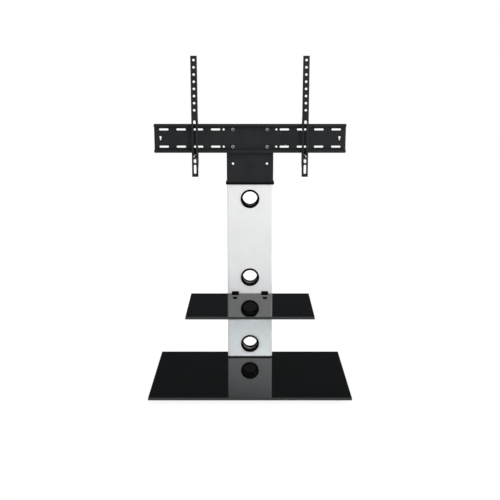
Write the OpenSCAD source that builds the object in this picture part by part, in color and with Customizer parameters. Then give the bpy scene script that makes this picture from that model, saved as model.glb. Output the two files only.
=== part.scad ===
// A free-standing television stand: a glass base, a boxed steel column with cable ports and a
// glass shelf, and a folded steel rail on which two slotted arms hang, slide and lock.

/* [Base] */
// Width of the glass base
base_w = 700; // [560:10:900]
// Depth of the glass base
base_d = 450; // [380:10:600]
// Thickness of the base glass
base_t = 10; // [8:1:15]
// Height of a foot
foot_h = 16; // [14:1:30]
// Diameter of a foot where it meets the glass
foot_dia = 24; // [18:1:40]
// Distance from a side edge of the base to the middle of a foot
foot_inset_x = 46; // [25:1:90]
// Distance from the front or back edge of the base to the middle of a foot
foot_inset_y = 44; // [25:1:90]

/* [Column] */
// Width of the column
col_w = 171; // [168:1:200]
// Depth of the column
col_d = 50; // [46:1:80]
// Height of the column
col_h = 674; // [660:2:900]
// Sheet thickness of the column
col_t = 2; // [1.5:0.5:3]
// Outside radius of the column's upright edges
col_r = 6; // [4:1:10]
// Distance from the back edge of the base to the column's back
col_inset = 12; // [6:1:60]
// Thickness of the rubber gasket under the column
gasket_t = 5; // [1:0.5:6]
// Thickness of the cap on the column
cap_t = 8; // [5:1:14]
// Overhang of the cap past the column's faces
cap_over = 4; // [1:0.5:8]

/* [Cable ports] */
// Outside diameter of a grommet's rim
port_rim_dia = 70; // [66:1:80]
// Clear diameter through a grommet
port_clear_dia = 55.4; // [44:0.2:58]
// Height of the lowest port above the column's foot
port_low = 51; // [48:1:90]
// Height of the middle port above the column's foot
port_mid = 318; // [310:1:380]
// Distance from the column's top to the top port
port_top = 54; // [48:1:90]

/* [Shelf] */
// Width of the shelf glass
shelf_w = 450; // [300:10:680]
// Depth of the shelf glass
shelf_d = 290; // [270:5:320]
// Thickness of the shelf glass
shelf_t = 10; // [6:1:12]
// Height of the shelf's top above the base's top
shelf_rise = 260; // [200:5:270]
// Sideways distance from the middle of the stand to a shelf bracket
bracket_x = 56; // [50:1:65]
// Width of a shelf bracket
bracket_w = 27; // [24:1:36]
// Length of a shelf bracket in front of the column
bracket_len = 215; // [150:5:240]
// Distance from the column's face to a shelf bolt
shelf_bolt_y = 56.6; // [40:0.2:80]

/* [Neck and rail] */
// Width of the neck
neck_w = 172; // [160:1:178]
// Height from the neck's foot to its first row of holes
row_first = 69.5; // [60:0.5:90]
// Distance from one row of holes to the next
row_pitch = 62.5; // [60:0.5:66]
// Sideways distance from the middle of the stand to the rail's bolts
rail_bolt_x = 62.5; // [50:0.5:66]
// Width of the rail
rail_w = 700; // [690:2:800]
// Height of the rail over its lips
rail_h = 105; // [104:1:120]
// Depth of the rail from its back to the front of its lips
rail_d = 16; // [16:1:32]
// Height of a lip measured from the inside of its flange
lip_h = 11; // [8:0.5:12]
// Sheet thickness of the rail
rail_t = 2; // [1.5:0.5:2.5]

/* [Arms] */
// Sideways distance from the middle of the stand to an arm
arm_x = 200; // [120:5:320]
// Length of an arm
arm_len = 430; // [420:5:520]
// Width of an arm
arm_w = 23; // [22:1:30]
// Sheet thickness of an arm
arm_t = 2; // [1.5:0.5:2.5]
// Height of an arm's top above the middle of the rail
arm_rise = 292.25; // [270:0.25:310]
// Distance between the screw holes along an arm
hole_pitch = 25; // [20:1:26]
// Diameter of the screw holes and width of the slots
hole_dia = 8.8; // [6:0.2:10]

/* [Hidden] */
$fn = 64;
// Overrun of every cut
over = 1;
// Gap round what fits inside the column
fit_gap = 0.15;
// Radial gap between a screw and its thread or its running hole
thread_gap = 0.05;
// Radial gap between a screw and a plain hole
hole_gap = 0.5;
// Gap between pieces that slide on each other
slide_gap = 0.3;

// M8 screws, nuts and washers
m8_dia = 8;
m8_across = 13;
m8_head_h = 5.3;
m8_nut_h = 6.5;
m8_washer_dia = 16;
m8_washer_t = 1.6;
// M6 screws and nuts
m6_dia = 6;
m6_across = 10;
m6_nut_h = 5;
m6_head_dia = 12;
m6_head_h = 3.6;
// M4 screws
m4_dia = 4;
m4_head_dia = 8;
m4_head_h = 2.4;
// Chamfer on hexagon heads and nuts, as a share of the distance across the flats
hex_chamfer_share = 0.06;
// Point of a screw, as a share of its diameter
screw_point_share = 0.1;
// Round head: radius of its dome as a share of half its width, and its hexagon socket's width
// and depth as shares of the shank's diameter and the head's height
dome_share = 0.45;
socket_share = 0.7;
socket_depth_share = 0.55;
// How far a screw stands out of its nut
screw_out = 2;

// Polished bevel along the edges of the glass
glass_bevel = 1;
// Foot: diameter on the floor, and height of the rim under the glass
foot_floor_dia = 20;
foot_rim_h = 5;
foot_floor_r = 2;

// Steel plate and foam pad under the base glass
plate_w = 200;
plate_d = 62;
plate_t = 4;
plate_r = 12;
pad_t = 1.5;
// Pattern of the four bolts at each end of the column
end_bolt_x = 55;
end_bolt_y = 12;
// Folded steel bracket welded into each end of the column
end_t = 4;
end_r = 7;
end_leg_h = 60;
end_side_gap = 3;

// Lips at the column's back and the cover that is screwed to them
back_lip = 18;
cover_t = 1.5;
cover_lap = 11.5;
cover_end_gap = 2;
cover_corner_r = 5;
cover_rib_d = 6;
cover_rib_gap = 0.5;
cover_rib_end = 24;
cover_screw_end = 40;

// Grommet: wall of the sleeve, rim thickness, sleeve length behind the wall, snap bead
sleeve_t = 2;
rim_t = 2;
rim_edge_r = 1.2;
sleeve_len = 6;
bead_h = 0.8;
bead_len = 2;

// Shelf bracket: sheet, bend radius, heights of its webs at the column and at the tip
bracket_t = 2.5;
bracket_r = 4;
bracket_root_h = 48;
bracket_tip_h = 12;
bracket_tip_flat = 20;
upstand_h = 7.8;
shelf_back_gap = 3;
bracket_screw_drop = 14;
bracket_screw_pitch = 24;
shelf_pad_dia = 20;
shelf_pad_t = 1.5;
shelf_pad_tip = 14;
shelf_pad_root = 22;
// Shelf bolt: head, and bush round the bolt in the glass
shelf_head_dia = 16;
shelf_head_h = 4.2;
shelf_head_r = 1;
bush_flange_t = 0.8;
bush_wall = 1.6;
bush_gap = 0.3;
shelf_socket_across = 4;
shelf_socket_depth = 2.4;

// Neck: sheet, bend radius, depth at the foot and at the top, height above the top row
neck_t = 3;
neck_r = 7;
neck_foot_d = 46;
neck_top_d = 26;
neck_straight_share = 0.35;
neck_above_row = 15;

// Rail: inside radius of the bends, corner radius of the lips, slots, holes and keyholes
rail_bend_r = 1.5;
lip_corner_r = 4;
slot_first_x = 125.5;
slot_pitch = 63;
slot_count = 4;
slot_len = 34.3;
slot_w = 7;
round_hole_x = 96.3;
round_hole_dia = 7.5;
keyhole_x = 327;
keyhole_dia = 8;
keyhole_slot_w = 4;
keyhole_drop = 8.5;
keyhole_rise = 3;

// Arm: bend radius, flange depth at the ends, at the rail, in the hook and at the lock
arm_r = 3.5;
arm_end_d = 7;
arm_lip_gap = 0.5;
arm_rail_d = 20.7;
hook_d = 31;
hook_top = 66;
hook_slope = 12;
hook_bite = 5.3;
ear_d = 35;
ear_gap = 1;
ear_h = 37;
ear_slope = 21;
hole_first = 15;
hole_count = 8;
// Long slot over the rail and the short slot below it, from the middle of the rail
long_slot_top = 66;
long_slot_len = 153.5;
short_slot_len = 33;
slot_bridge = 6.2;
// Lock: plate across the arm, its gap under the rail's lip, and the screw behind the lip
lock_plate_t = 3;
lock_plate_front = 8;
lock_plate_gap = 1.3;
lock_screw_gap = 1.2;
lock_tip_gap = 3.1;
lock_screw_len = 25;

// Heights and places worked out from the sizes above
glass_top = foot_h + base_t;
col_foot_z = glass_top + gasket_t;
col_top_z = col_foot_z + col_h;
neck_z = col_top_z + cap_t;
col_back_y = base_d / 2 - col_inset;
col_front_y = col_back_y - col_d;
col_mid_y = col_front_y + col_d / 2;
cover_y = col_back_y;
port_heights = [port_low, port_mid, col_h - port_top];
port_hole_r = port_clear_dia / 2 + sleeve_t + fit_gap;
shelf_top = glass_top + shelf_rise;
shelf_under = shelf_top - shelf_t;
bracket_top = shelf_under - shelf_pad_t;
shelf_back_y = col_front_y - shelf_back_gap;
shelf_bolt_at = col_front_y - shelf_bolt_y;
rows = [for (k = [0:2]) neck_z + row_first + k * row_pitch];
neck_h = row_first + 2 * row_pitch + neck_above_row;
rail_z = (rows[1] + rows[2]) / 2;
rail_back_y = col_front_y;
lip_y = rail_back_y - rail_d;
web_y = rail_back_y - rail_t;
rail_in_h = rail_h - 2 * lip_h;
arm_y = lip_y - slide_gap - arm_rail_d;
lip_foot_z = rail_z - rail_h / 2;
lock_plate_z = lip_foot_z - lock_plate_gap - lock_plate_t;
lock_y = lip_y + rail_t + lock_screw_gap + m8_dia / 2;
lock_tip_z = rail_z - rail_in_h / 2 - rail_t - lock_tip_gap;
lock_seat_z = lock_tip_z - lock_screw_len;

black = [0.16, 0.16, 0.17];
glass_black = [0.05, 0.05, 0.06];
white = [0.90, 0.90, 0.91];
zinc = [0.72, 0.73, 0.74];
rubber = [0.10, 0.10, 0.10];

// Flat shapes

module rounded_rect(w, d, r) {
    square([w - 2 * r, d], center = true);
    square([w, d - 2 * r], center = true);
    for (x = [-1, 1], y = [-1, 1])
        translate([x * (w / 2 - r), y * (d / 2 - r)])
            circle(r);
}

// A rectangle that starts at y = 0 and is rounded at its two corners there
module front_rounded(w, d, r) {
    translate([-w / 2, r])
        square([w, d - r]);
    translate([-(w / 2 - r), 0])
        square([w - 2 * r, d]);
    for (x = [-1, 1])
        translate([x * (w / 2 - r), r])
            circle(r);
}

// The section of a sheet folded to a channel that opens towards +y
module channel_section(w, d, t, r) {
    difference() {
        front_rounded(w, d, r);
        translate([0, t])
            front_rounded(w - 2 * t, d, r - t);
    }
}

// A quarter bend of sheet round the origin, from +x to +y, with inside radius r
module bend_section(t, r) {
    intersection() {
        difference() {
            circle(r + t);
            circle(r);
        }
        square(r + t);
    }
}

// Solids that repeat

module slab(w, d, t, r) {
    linear_extrude(t)
        rounded_rect(w, d, r);
}

// A sheet of glass with a bevel along every edge of both faces, from z = 0 up
module glass_sheet(w, d, t, bevel) {
    module edge(span) {
        polygon([[-span / 2 + bevel, 0], [span / 2 - bevel, 0], [span / 2, bevel],
            [span / 2, t - bevel], [span / 2 - bevel, t], [-span / 2 + bevel, t],
            [-span / 2, t - bevel], [-span / 2, bevel]]);
    }
    intersection() {
        translate([0, d / 2, 0])
            rotate([90, 0, 0])
                linear_extrude(d)
                    edge(w);
        translate([-w / 2, 0, 0])
            rotate([90, 0, 90])
                linear_extrude(w)
                    edge(d);
    }
}

// A hexagon prism from z = 0 to h whose corners are chamfered at both ends
module hex_body(across, h) {
    corner_r = across / 2 / cos(30);
    chamfer = across * hex_chamfer_share;
    intersection() {
        cylinder(r = corner_r, h = h, $fn = 6);
        rotate_extrude()
            polygon([[0, 0], [corner_r - chamfer, 0], [corner_r, chamfer],
                [corner_r, h - chamfer], [corner_r - chamfer, h], [0, h]]);
    }
}

// A hexagon screw that points up: its head hangs below z = 0
module hex_screw(dia, across, head_h, len) {
    tip = dia * screw_point_share;
    translate([0, 0, -head_h])
        hex_body(across, head_h);
    rotate_extrude()
        polygon([[0, -tip], [dia / 2, -tip], [dia / 2, len - tip], [dia / 2 - tip, len], [0, len]]);
}

module hex_nut(dia, across, h) {
    difference() {
        hex_body(across, h);
        translate([0, 0, -over])
            cylinder(d = dia + 2 * thread_gap, h = h + 2 * over);
    }
}

module washer(dia, outer, t) {
    difference() {
        cylinder(d = outer, h = t);
        translate([0, 0, -over])
            cylinder(d = dia + hole_gap, h = t + 2 * over);
    }
}

// A screw that points up, with a domed round head below z = 0 and a hexagon socket in it
module round_screw(dia, head_dia, head_h, len) {
    dome_r = head_dia / 2 * dome_share;
    difference() {
        union() {
            rotate_extrude()
                intersection() {
                    translate([0, -head_h])
                        square([head_dia / 2, head_h]);
                    union() {
                        translate([0, dome_r - head_h])
                            square([head_dia / 2, head_h]);
                        translate([0, -head_h])
                            square([head_dia / 2 - dome_r, head_h]);
                        translate([head_dia / 2 - dome_r, dome_r - head_h])
                            circle(dome_r);
                    }
                }
            translate([0, 0, -head_h / 2])
                cylinder(d = dia, h = len + head_h / 2);
        }
        translate([0, 0, -head_h - over])
            cylinder(d = dia * socket_share, h = head_h * socket_depth_share + over, $fn = 6);
    }
}

// A slot along x that is cut along y, centred on the origin
module slot_cut(len, w, depth) {
    rotate([90, 0, 0])
        linear_extrude(depth, center = true) {
            square([len - w, w], center = true);
            for (x = [-1, 1])
                translate([x * (len - w) / 2, 0])
                    circle(d = w);
        }
}

module across_y(dia, depth) {
    rotate([90, 0, 0])
        cylinder(d = dia, h = depth, center = true);
}

// The four places of the bolts at an end of the column
module at_end_bolts() {
    for (x = [-1, 1], y = [-1, 1])
        translate([x * end_bolt_x, col_mid_y + y * end_bolt_y, 0])
            children();
}

module end_bolt_holes(z, h) {
    at_end_bolts()
        translate([0, 0, z - over])
            cylinder(d = m8_dia + 2 * hole_gap, h = h + 2 * over);
}

// Base

module base_glass() {
    color(glass_black)
        difference() {
            translate([0, 0, foot_h])
                glass_sheet(base_w, base_d, base_t, glass_bevel);
            end_bolt_holes(foot_h, base_t);
        }
}

module base_feet() {
    color(rubber)
        for (x = [-1, 1], y = [-1, 1])
            translate([x * (base_w / 2 - foot_inset_x), y * (base_d / 2 - foot_inset_y), 0])
                rotate_extrude() {
                    polygon([[0, 0], [foot_floor_dia / 2 - foot_floor_r, 0],
                        [foot_floor_dia / 2, foot_floor_r], [foot_dia / 2, foot_h - foot_rim_h],
                        [foot_dia / 2, foot_h], [0, foot_h]]);
                }
}

module base_plate() {
    color(black)
        difference() {
            translate([0, col_mid_y, foot_h - pad_t - plate_t])
                slab(plate_w, plate_d, plate_t, plate_r);
            end_bolt_holes(foot_h - pad_t - plate_t, plate_t);
        }
}

module base_pad() {
    color(rubber)
        difference() {
            translate([0, col_mid_y, foot_h - pad_t])
                slab(plate_w, plate_d, pad_t, plate_r);
            end_bolt_holes(foot_h - pad_t, pad_t);
        }
}

module base_washers() {
    color(zinc)
        at_end_bolts()
            translate([0, 0, foot_h - pad_t - plate_t - m8_washer_t])
                washer(m8_dia, m8_washer_dia, m8_washer_t);
}

module base_bolts() {
    seat = foot_h - pad_t - plate_t - m8_washer_t;
    color(zinc)
        at_end_bolts()
            translate([0, 0, seat])
                hex_screw(m8_dia, m8_across, m8_head_h,
                    col_foot_z + end_t + m8_nut_h + screw_out - seat);
}

// Column

module column_gasket() {
    color(rubber)
        difference() {
            translate([0, col_mid_y, glass_top])
                slab(col_w, col_d, gasket_t, col_r);
            end_bolt_holes(glass_top, gasket_t);
        }
}

// The folded bracket in an end of the column, with its plate at z = 0 and its legs upwards
module end_bracket() {
    difference() {
        translate([0, col_back_y - col_t - end_side_gap, 0])
            rotate([90, 0, 0])
                linear_extrude(col_d - 2 * col_t - 2 * end_side_gap)
                    channel_section(col_w - 2 * col_t - 2 * fit_gap, end_leg_h, end_t, end_r);
        end_bolt_holes(0, end_t);
    }
}

module column_foot() {
    color(black)
        translate([0, 0, col_foot_z])
            end_bracket();
}

module column_head() {
    color(black)
        translate([0, 0, col_top_z])
            mirror([0, 0, 1])
                end_bracket();
}

module column_nuts() {
    color(zinc)
        at_end_bolts() {
            translate([0, 0, col_foot_z + end_t])
                hex_nut(m8_dia, m8_across, m8_nut_h);
            translate([0, 0, col_top_z - end_t - m8_nut_h])
                hex_nut(m8_dia, m8_across, m8_nut_h);
        }
}

module at_ports() {
    for (h = port_heights)
        translate([0, 0, col_foot_z + h])
            children();
}

module at_bracket_screws() {
    for (x = [-1, 1], k = [0, 1])
        translate([x * bracket_x, 0, bracket_top - bracket_screw_drop - k * bracket_screw_pitch])
            children();
}

module at_cover_screws() {
    for (x = [-1, 1], z = [cover_screw_end, col_h / 2, col_h - cover_screw_end])
        translate([x * (col_w / 2 - back_lip + cover_lap / 2), 0, col_foot_z + z])
            children();
}

module column_front() {
    color(white)
        difference() {
            translate([0, col_mid_y, col_foot_z])
                linear_extrude(col_h)
                    difference() {
                        rounded_rect(col_w, col_d, col_r);
                        rounded_rect(col_w - 2 * col_t, col_d - 2 * col_t, col_r - col_t);
                        translate([0, col_d / 2])
                            square([col_w - 2 * back_lip, 4 * col_t], center = true);
                    }
            at_ports()
                translate([0, col_front_y, 0])
                    across_y(2 * port_hole_r, 4 * col_t);
            at_bracket_screws()
                translate([0, col_front_y, 0])
                    across_y(m6_dia + hole_gap, 4 * col_t);
            at_cover_screws()
                translate([0, col_back_y, 0])
                    across_y(m4_dia + 2 * thread_gap, 4 * col_t);
        }
}

module column_back() {
    opening = col_w - 2 * back_lip;
    color(white)
        difference() {
            union() {
                translate([0, cover_y + cover_t, col_foot_z + col_h / 2])
                    rotate([90, 0, 0])
                        slab(opening + 2 * cover_lap, col_h - 2 * cover_end_gap, cover_t,
                            cover_corner_r);
                for (x = [-1, 1])
                    translate([x * (opening / 2 - cover_rib_gap - cover_t / 2) - cover_t / 2,
                        cover_y - cover_rib_d, col_foot_z + cover_rib_end])
                        cube([cover_t, cover_rib_d + cover_t / 2, col_h - 2 * cover_rib_end]);
            }
            at_ports()
                translate([0, cover_y, 0])
                    across_y(2 * port_hole_r, 4 * cover_t);
            at_cover_screws()
                translate([0, cover_y, 0])
                    across_y(m4_dia + hole_gap, 4 * cover_t);
        }
}

module cover_screws() {
    color(zinc)
        at_cover_screws()
            translate([0, cover_y + cover_t, 0])
                rotate([90, 0, 0])
                    round_screw(m4_dia, m4_head_dia, m4_head_h, cover_t + col_t + screw_out);
}

module column_cap() {
    color(black)
        difference() {
            translate([0, col_mid_y, col_top_z])
                slab(col_w + 2 * cap_over, col_d + 2 * cap_over, cap_t, col_r + cap_over / 2);
            end_bolt_holes(col_top_z, cap_t);
        }
}

// A grommet on the y axis: its rim stands in front of y = 0 and its sleeve runs back through
// a wall of thickness wall
module grommet(wall) {
    bore_r = port_clear_dia / 2;
    rim_r = port_rim_dia / 2;
    sleeve_r = bore_r + sleeve_t;
    rotate([-90, 0, 0])
        rotate_extrude(convexity = 4) {
            // Rim with a rounded outer edge
            translate([bore_r, -rim_t])
                square([rim_r - rim_edge_r - bore_r, rim_t]);
            translate([bore_r, rim_edge_r - rim_t])
                square([rim_r - bore_r, rim_t - rim_edge_r]);
            intersection() {
                translate([rim_r - rim_edge_r, rim_edge_r - rim_t])
                    circle(rim_edge_r);
                translate([bore_r, -rim_t])
                    square([rim_r - bore_r, rim_t]);
            }
            // Sleeve
            translate([bore_r, -rim_t / 2])
                square([sleeve_t, rim_t / 2 + wall + sleeve_len]);
            // Snap bead that holds behind the wall
            polygon([[sleeve_r - sleeve_t / 2, wall + fit_gap], [sleeve_r + bead_h, wall + fit_gap],
                [sleeve_r + bead_h, wall + bead_len / 2], [sleeve_r, wall + bead_len],
                [sleeve_r - sleeve_t / 2, wall + bead_len]]);
        }
}

module front_grommet(h) {
    color(rubber)
        translate([0, col_front_y, col_foot_z + h])
            grommet(col_t);
}

module rear_grommet(h) {
    color(rubber)
        translate([0, cover_y + cover_t, col_foot_z + h])
            mirror([0, 1, 0])
                grommet(cover_t);
}

// Shelf

module at_shelf_bolts() {
    for (x = [-1, 1])
        translate([x * bracket_x, shelf_bolt_at, 0])
            children();
}

module shelf_glass() {
    bolt_hole = m6_dia + 2 * hole_gap + 2 * bush_wall + 2 * bush_gap;
    color(glass_black)
        difference() {
            translate([0, shelf_back_y - shelf_d / 2, shelf_under])
                glass_sheet(shelf_w, shelf_d, shelf_t, glass_bevel);
            at_shelf_bolts()
                translate([0, 0, shelf_under - over])
                    cylinder(d = bolt_hole, h = shelf_t + 2 * over);
        }
}

// A folded channel that opens downwards, cut to a taper, with the back plate that is screwed
// to the column and stands up behind the glass
module shelf_bracket(x) {
    tip_y = col_front_y - bracket_len;
    plate_foot_z = bracket_top - bracket_root_h;
    color(black)
        difference() {
            translate([x, 0, 0])
                union() {
                    intersection() {
                        translate([0, col_front_y - bracket_t / 2, bracket_top])
                            rotate([90, 180, 0])
                                linear_extrude(bracket_len - bracket_t / 2)
                                    channel_section(bracket_w, bracket_root_h, bracket_t,
                                        bracket_r);
                        translate([-bracket_w / 2 - over, 0, 0])
                            rotate([90, 0, 90])
                                linear_extrude(bracket_w + 2 * over)
                                    polygon([[col_front_y, plate_foot_z],
                                        [col_front_y - bracket_t, plate_foot_z],
                                        [tip_y + bracket_tip_flat, bracket_top - bracket_tip_h],
                                        [tip_y + bracket_tip_h / 2, bracket_top - bracket_tip_h],
                                        [tip_y, bracket_top - bracket_tip_h / 2],
                                        [tip_y, bracket_top], [col_front_y, bracket_top]]);
                    }
                    translate([0, col_front_y, (shelf_top + upstand_h + plate_foot_z) / 2])
                        rotate([90, 0, 0])
                            slab(bracket_w, shelf_top + upstand_h - plate_foot_z, bracket_t,
                                bracket_r / 2);
                }
            at_bracket_screws()
                translate([0, col_front_y, 0])
                    across_y(m6_dia + hole_gap, 4 * bracket_t);
            at_shelf_bolts()
                translate([0, 0, bracket_top - bracket_t - over])
                    cylinder(d = m6_dia + 2 * hole_gap, h = bracket_t + 2 * over);
        }
}

module bracket_screws() {
    color(zinc)
        at_bracket_screws()
            translate([0, col_front_y - bracket_t, 0])
                rotate([-90, 0, 0])
                    round_screw(m6_dia, m6_head_dia, m6_head_h,
                        bracket_t + col_t + m6_nut_h + screw_out);
}

module bracket_nuts() {
    color(zinc)
        at_bracket_screws()
            translate([0, col_front_y + col_t, 0])
                rotate([-90, 0, 0])
                    hex_nut(m6_dia, m6_across, m6_nut_h);
}

module shelf_pads() {
    color(rubber)
        for (x = [-1, 1], y = [col_front_y - bracket_len + shelf_pad_tip, shelf_bolt_at,
            shelf_back_y - shelf_pad_root])
            translate([x * bracket_x, y, bracket_top])
                washer(m6_dia, shelf_pad_dia, shelf_pad_t);
}

module shelf_bushes() {
    inner = m6_dia + 2 * hole_gap;
    color(rubber)
        at_shelf_bolts()
            difference() {
                union() {
                    translate([0, 0, shelf_top])
                        cylinder(d = shelf_head_dia, h = bush_flange_t);
                    translate([0, 0, shelf_under])
                        cylinder(d = inner + 2 * bush_wall, h = shelf_t + bush_flange_t / 2);
                }
                translate([0, 0, shelf_under - over])
                    cylinder(d = inner, h = shelf_t + bush_flange_t + 2 * over);
            }
}

module shelf_bolts() {
    seat = shelf_top + bush_flange_t;
    color(black)
        at_shelf_bolts()
            difference() {
                translate([0, 0, seat])
                    rotate_extrude() {
                        square([shelf_head_dia / 2, shelf_head_h - shelf_head_r]);
                        square([shelf_head_dia / 2 - shelf_head_r, shelf_head_h]);
                        translate([shelf_head_dia / 2 - shelf_head_r, shelf_head_h - shelf_head_r])
                            circle(shelf_head_r);
                        translate([0, bracket_top - bracket_t - m6_nut_h - screw_out - seat])
                            square([m6_dia / 2, seat + m6_nut_h + screw_out + bracket_t
                                - bracket_top + shelf_head_h / 2]);
                    }
                translate([0, 0, seat + shelf_head_h - shelf_socket_depth])
                    cylinder(d = shelf_socket_across / cos(30), h = shelf_socket_depth + over,
                        $fn = 6);
            }
}

module shelf_nuts() {
    color(zinc)
        at_shelf_bolts()
            translate([0, 0, bracket_top - bracket_t - m6_nut_h])
                hex_nut(m6_dia, m6_across, m6_nut_h);
}

// Neck and rail

module at_rows(which) {
    for (x = [-1, 1], k = which)
        translate([x * rail_bolt_x, 0, rows[k]])
            children();
}

module neck() {
    color(black)
        difference() {
            union() {
                intersection() {
                    translate([0, col_front_y, neck_z])
                        linear_extrude(neck_h)
                            channel_section(neck_w, neck_foot_d, neck_t, neck_r);
                    translate([-neck_w / 2 - over, col_front_y, neck_z])
                        rotate([90, 0, 90])
                            linear_extrude(neck_w + 2 * over)
                                polygon([[0, 0], [neck_foot_d, 0],
                                    [neck_foot_d, neck_h * neck_straight_share],
                                    [neck_top_d, neck_h], [0, neck_h]]);
                }
                translate([-neck_w / 2 + neck_t / 2, col_front_y + neck_t / 2, neck_z])
                    cube([neck_w - neck_t, neck_foot_d - neck_t / 2, neck_t]);
            }
            end_bolt_holes(neck_z, neck_t);
            at_rows([0:2])
                translate([0, col_front_y, 0])
                    across_y(m8_dia + hole_gap, 4 * neck_t);
        }
}

module neck_washers() {
    color(zinc)
        at_end_bolts()
            translate([0, 0, neck_z + neck_t])
                washer(m8_dia, m8_washer_dia, m8_washer_t);
}

module neck_bolts() {
    seat = neck_z + neck_t + m8_washer_t;
    color(zinc)
        at_end_bolts()
            translate([0, 0, seat])
                mirror([0, 0, 1])
                    hex_screw(m8_dia, m8_across, m8_head_h,
                        seat - col_top_z + end_t + m8_nut_h + screw_out);
}

// Half of the rail's folded section, above its middle: x runs back from the lip, y runs up
module rail_half_section() {
    flange = rail_in_h / 2;
    translate([rail_d - rail_t, 0])
        square([rail_t, flange - rail_bend_r]);
    translate([rail_d - rail_t - rail_bend_r, flange - rail_bend_r])
        bend_section(rail_t, rail_bend_r);
    translate([rail_t + rail_bend_r, flange])
        square([rail_d - 2 * rail_t - 2 * rail_bend_r, rail_t]);
    translate([rail_t + rail_bend_r, flange + rail_t + rail_bend_r])
        mirror([1, 0])
            mirror([0, 1])
                bend_section(rail_t, rail_bend_r);
    translate([0, flange + rail_t + rail_bend_r])
        square([rail_t, rail_h / 2 - flange - rail_t - rail_bend_r]);
}

module rail() {
    color(black)
        difference() {
            intersection() {
                translate([-rail_w / 2, lip_y, rail_z])
                    rotate([90, 0, 90])
                        linear_extrude(rail_w) {
                            rail_half_section();
                            mirror([0, 1])
                                rail_half_section();
                        }
                translate([0, rail_back_y + over, rail_z])
                    rotate([90, 0, 0])
                        slab(rail_w, rail_h, rail_d + 2 * over, lip_corner_r);
            }
            for (x = [-1, 1], z = [rows[1], rows[2]]) {
                for (k = [0:slot_count - 1])
                    translate([x * (slot_first_x + k * slot_pitch), web_y, z])
                        slot_cut(slot_len, slot_w, 4 * rail_t);
                translate([x * round_hole_x, web_y, z])
                    across_y(round_hole_dia, 4 * rail_t);
                translate([x * rail_bolt_x, web_y, z])
                    across_y(m8_dia + hole_gap, 4 * rail_t);
            }
            for (x = [-1, 1])
                translate([x * keyhole_x, web_y, rail_z + keyhole_rise]) {
                    across_y(keyhole_dia, 4 * rail_t);
                    translate([0, 0, -keyhole_drop / 2])
                        cube([keyhole_slot_w, 4 * rail_t, keyhole_drop], center = true);
                    translate([0, 0, -keyhole_drop])
                        across_y(keyhole_slot_w, 4 * rail_t);
                }
        }
}

module rail_washers() {
    color(zinc)
        at_rows([1:2])
            translate([0, web_y - m8_washer_t, 0])
                rotate([-90, 0, 0])
                    washer(m8_dia, m8_washer_dia, m8_washer_t);
}

module rail_bolts() {
    color(zinc)
        at_rows([1:2])
            translate([0, web_y - m8_washer_t, 0])
                rotate([-90, 0, 0])
                    hex_screw(m8_dia, m8_across, m8_head_h,
                        m8_washer_t + rail_t + neck_t + m8_nut_h + screw_out);
}

module rail_nuts() {
    color(zinc)
        at_rows([1:2])
            translate([0, rail_back_y + neck_t, 0])
                rotate([-90, 0, 0])
                    hex_nut(m8_dia, m8_across, m8_nut_h);
}

// Arms

// The outline of an arm's flanges: x runs back from the arm's face, y up from the rail's middle.
// The hook drops over the rail's upper lip, and the ears below hold the lock plate.
module arm_outline() {
    top = arm_rise;
    foot = arm_rise - arm_len;
    lip_tip = rail_h / 2;
    notch_d = arm_rail_d + slide_gap + rail_t + arm_lip_gap;
    ear_top = -lip_tip - ear_gap;
    polygon([[0, top], [arm_end_d, top], [arm_rail_d, hook_top + hook_slope],
        [hook_d - hook_slope / 3, hook_top], [hook_d, hook_top - hook_slope / 3],
        [hook_d, lip_tip + slide_gap - hook_bite], [notch_d, lip_tip + slide_gap - hook_bite],
        [notch_d, lip_tip + slide_gap], [arm_rail_d, lip_tip + slide_gap],
        [arm_rail_d, ear_top], [ear_d, ear_top], [ear_d, ear_top - ear_h],
        [arm_end_d, ear_top - ear_h - ear_slope], [arm_end_d, foot], [0, foot]]);
}

module arm(x) {
    long_slot_mid = long_slot_top - long_slot_len / 2;
    short_slot_mid = long_slot_top - long_slot_len - slot_bridge - short_slot_len / 2;
    color(black)
        translate([x, arm_y, rail_z])
            difference() {
                intersection() {
                    translate([0, 0, arm_rise - arm_len])
                        linear_extrude(arm_len)
                            channel_section(arm_w, ear_d, arm_t, arm_r);
                    translate([-arm_w / 2 - over, 0, 0])
                        rotate([90, 0, 90])
                            linear_extrude(arm_w + 2 * over)
                                arm_outline();
                }
                for (k = [0:hole_count - 1])
                    translate([0, 0, arm_rise - hole_first - k * hole_pitch])
                        across_y(hole_dia, 4 * arm_t);
                for (s = [[long_slot_mid, long_slot_len], [short_slot_mid, short_slot_len]])
                    translate([0, 0, s[0]])
                        rotate([0, 90, 0])
                            slot_cut(s[1], hole_dia, 4 * arm_t);
            }
}

module lock_plate(x) {
    plate_w_in = arm_w - 2 * arm_t;
    color(black)
        difference() {
            translate([x - plate_w_in / 2, arm_y + lock_plate_front, lock_plate_z])
                cube([plate_w_in, ear_d - lock_plate_front, lock_plate_t]);
            translate([x, lock_y, lock_plate_z - over])
                cylinder(d = m8_dia + hole_gap, h = lock_plate_t + 2 * over);
        }
}

module lock_nut(x) {
    color(zinc)
        translate([x, lock_y, lock_plate_z - m8_nut_h])
            hex_nut(m8_dia, m8_across, m8_nut_h);
}

module lock_washer(x) {
    color(zinc)
        translate([x, lock_y, lock_seat_z])
            difference() {
                cylinder(d = m8_washer_dia, h = m8_washer_t);
                translate([0, 0, -over])
                    cylinder(d = m8_dia + 2 * thread_gap, h = m8_washer_t + 2 * over);
            }
}

module lock_screw(x) {
    color(zinc)
        translate([x, lock_y, lock_seat_z])
            hex_screw(m8_dia, m8_across, m8_head_h, lock_screw_len);
}

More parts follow.
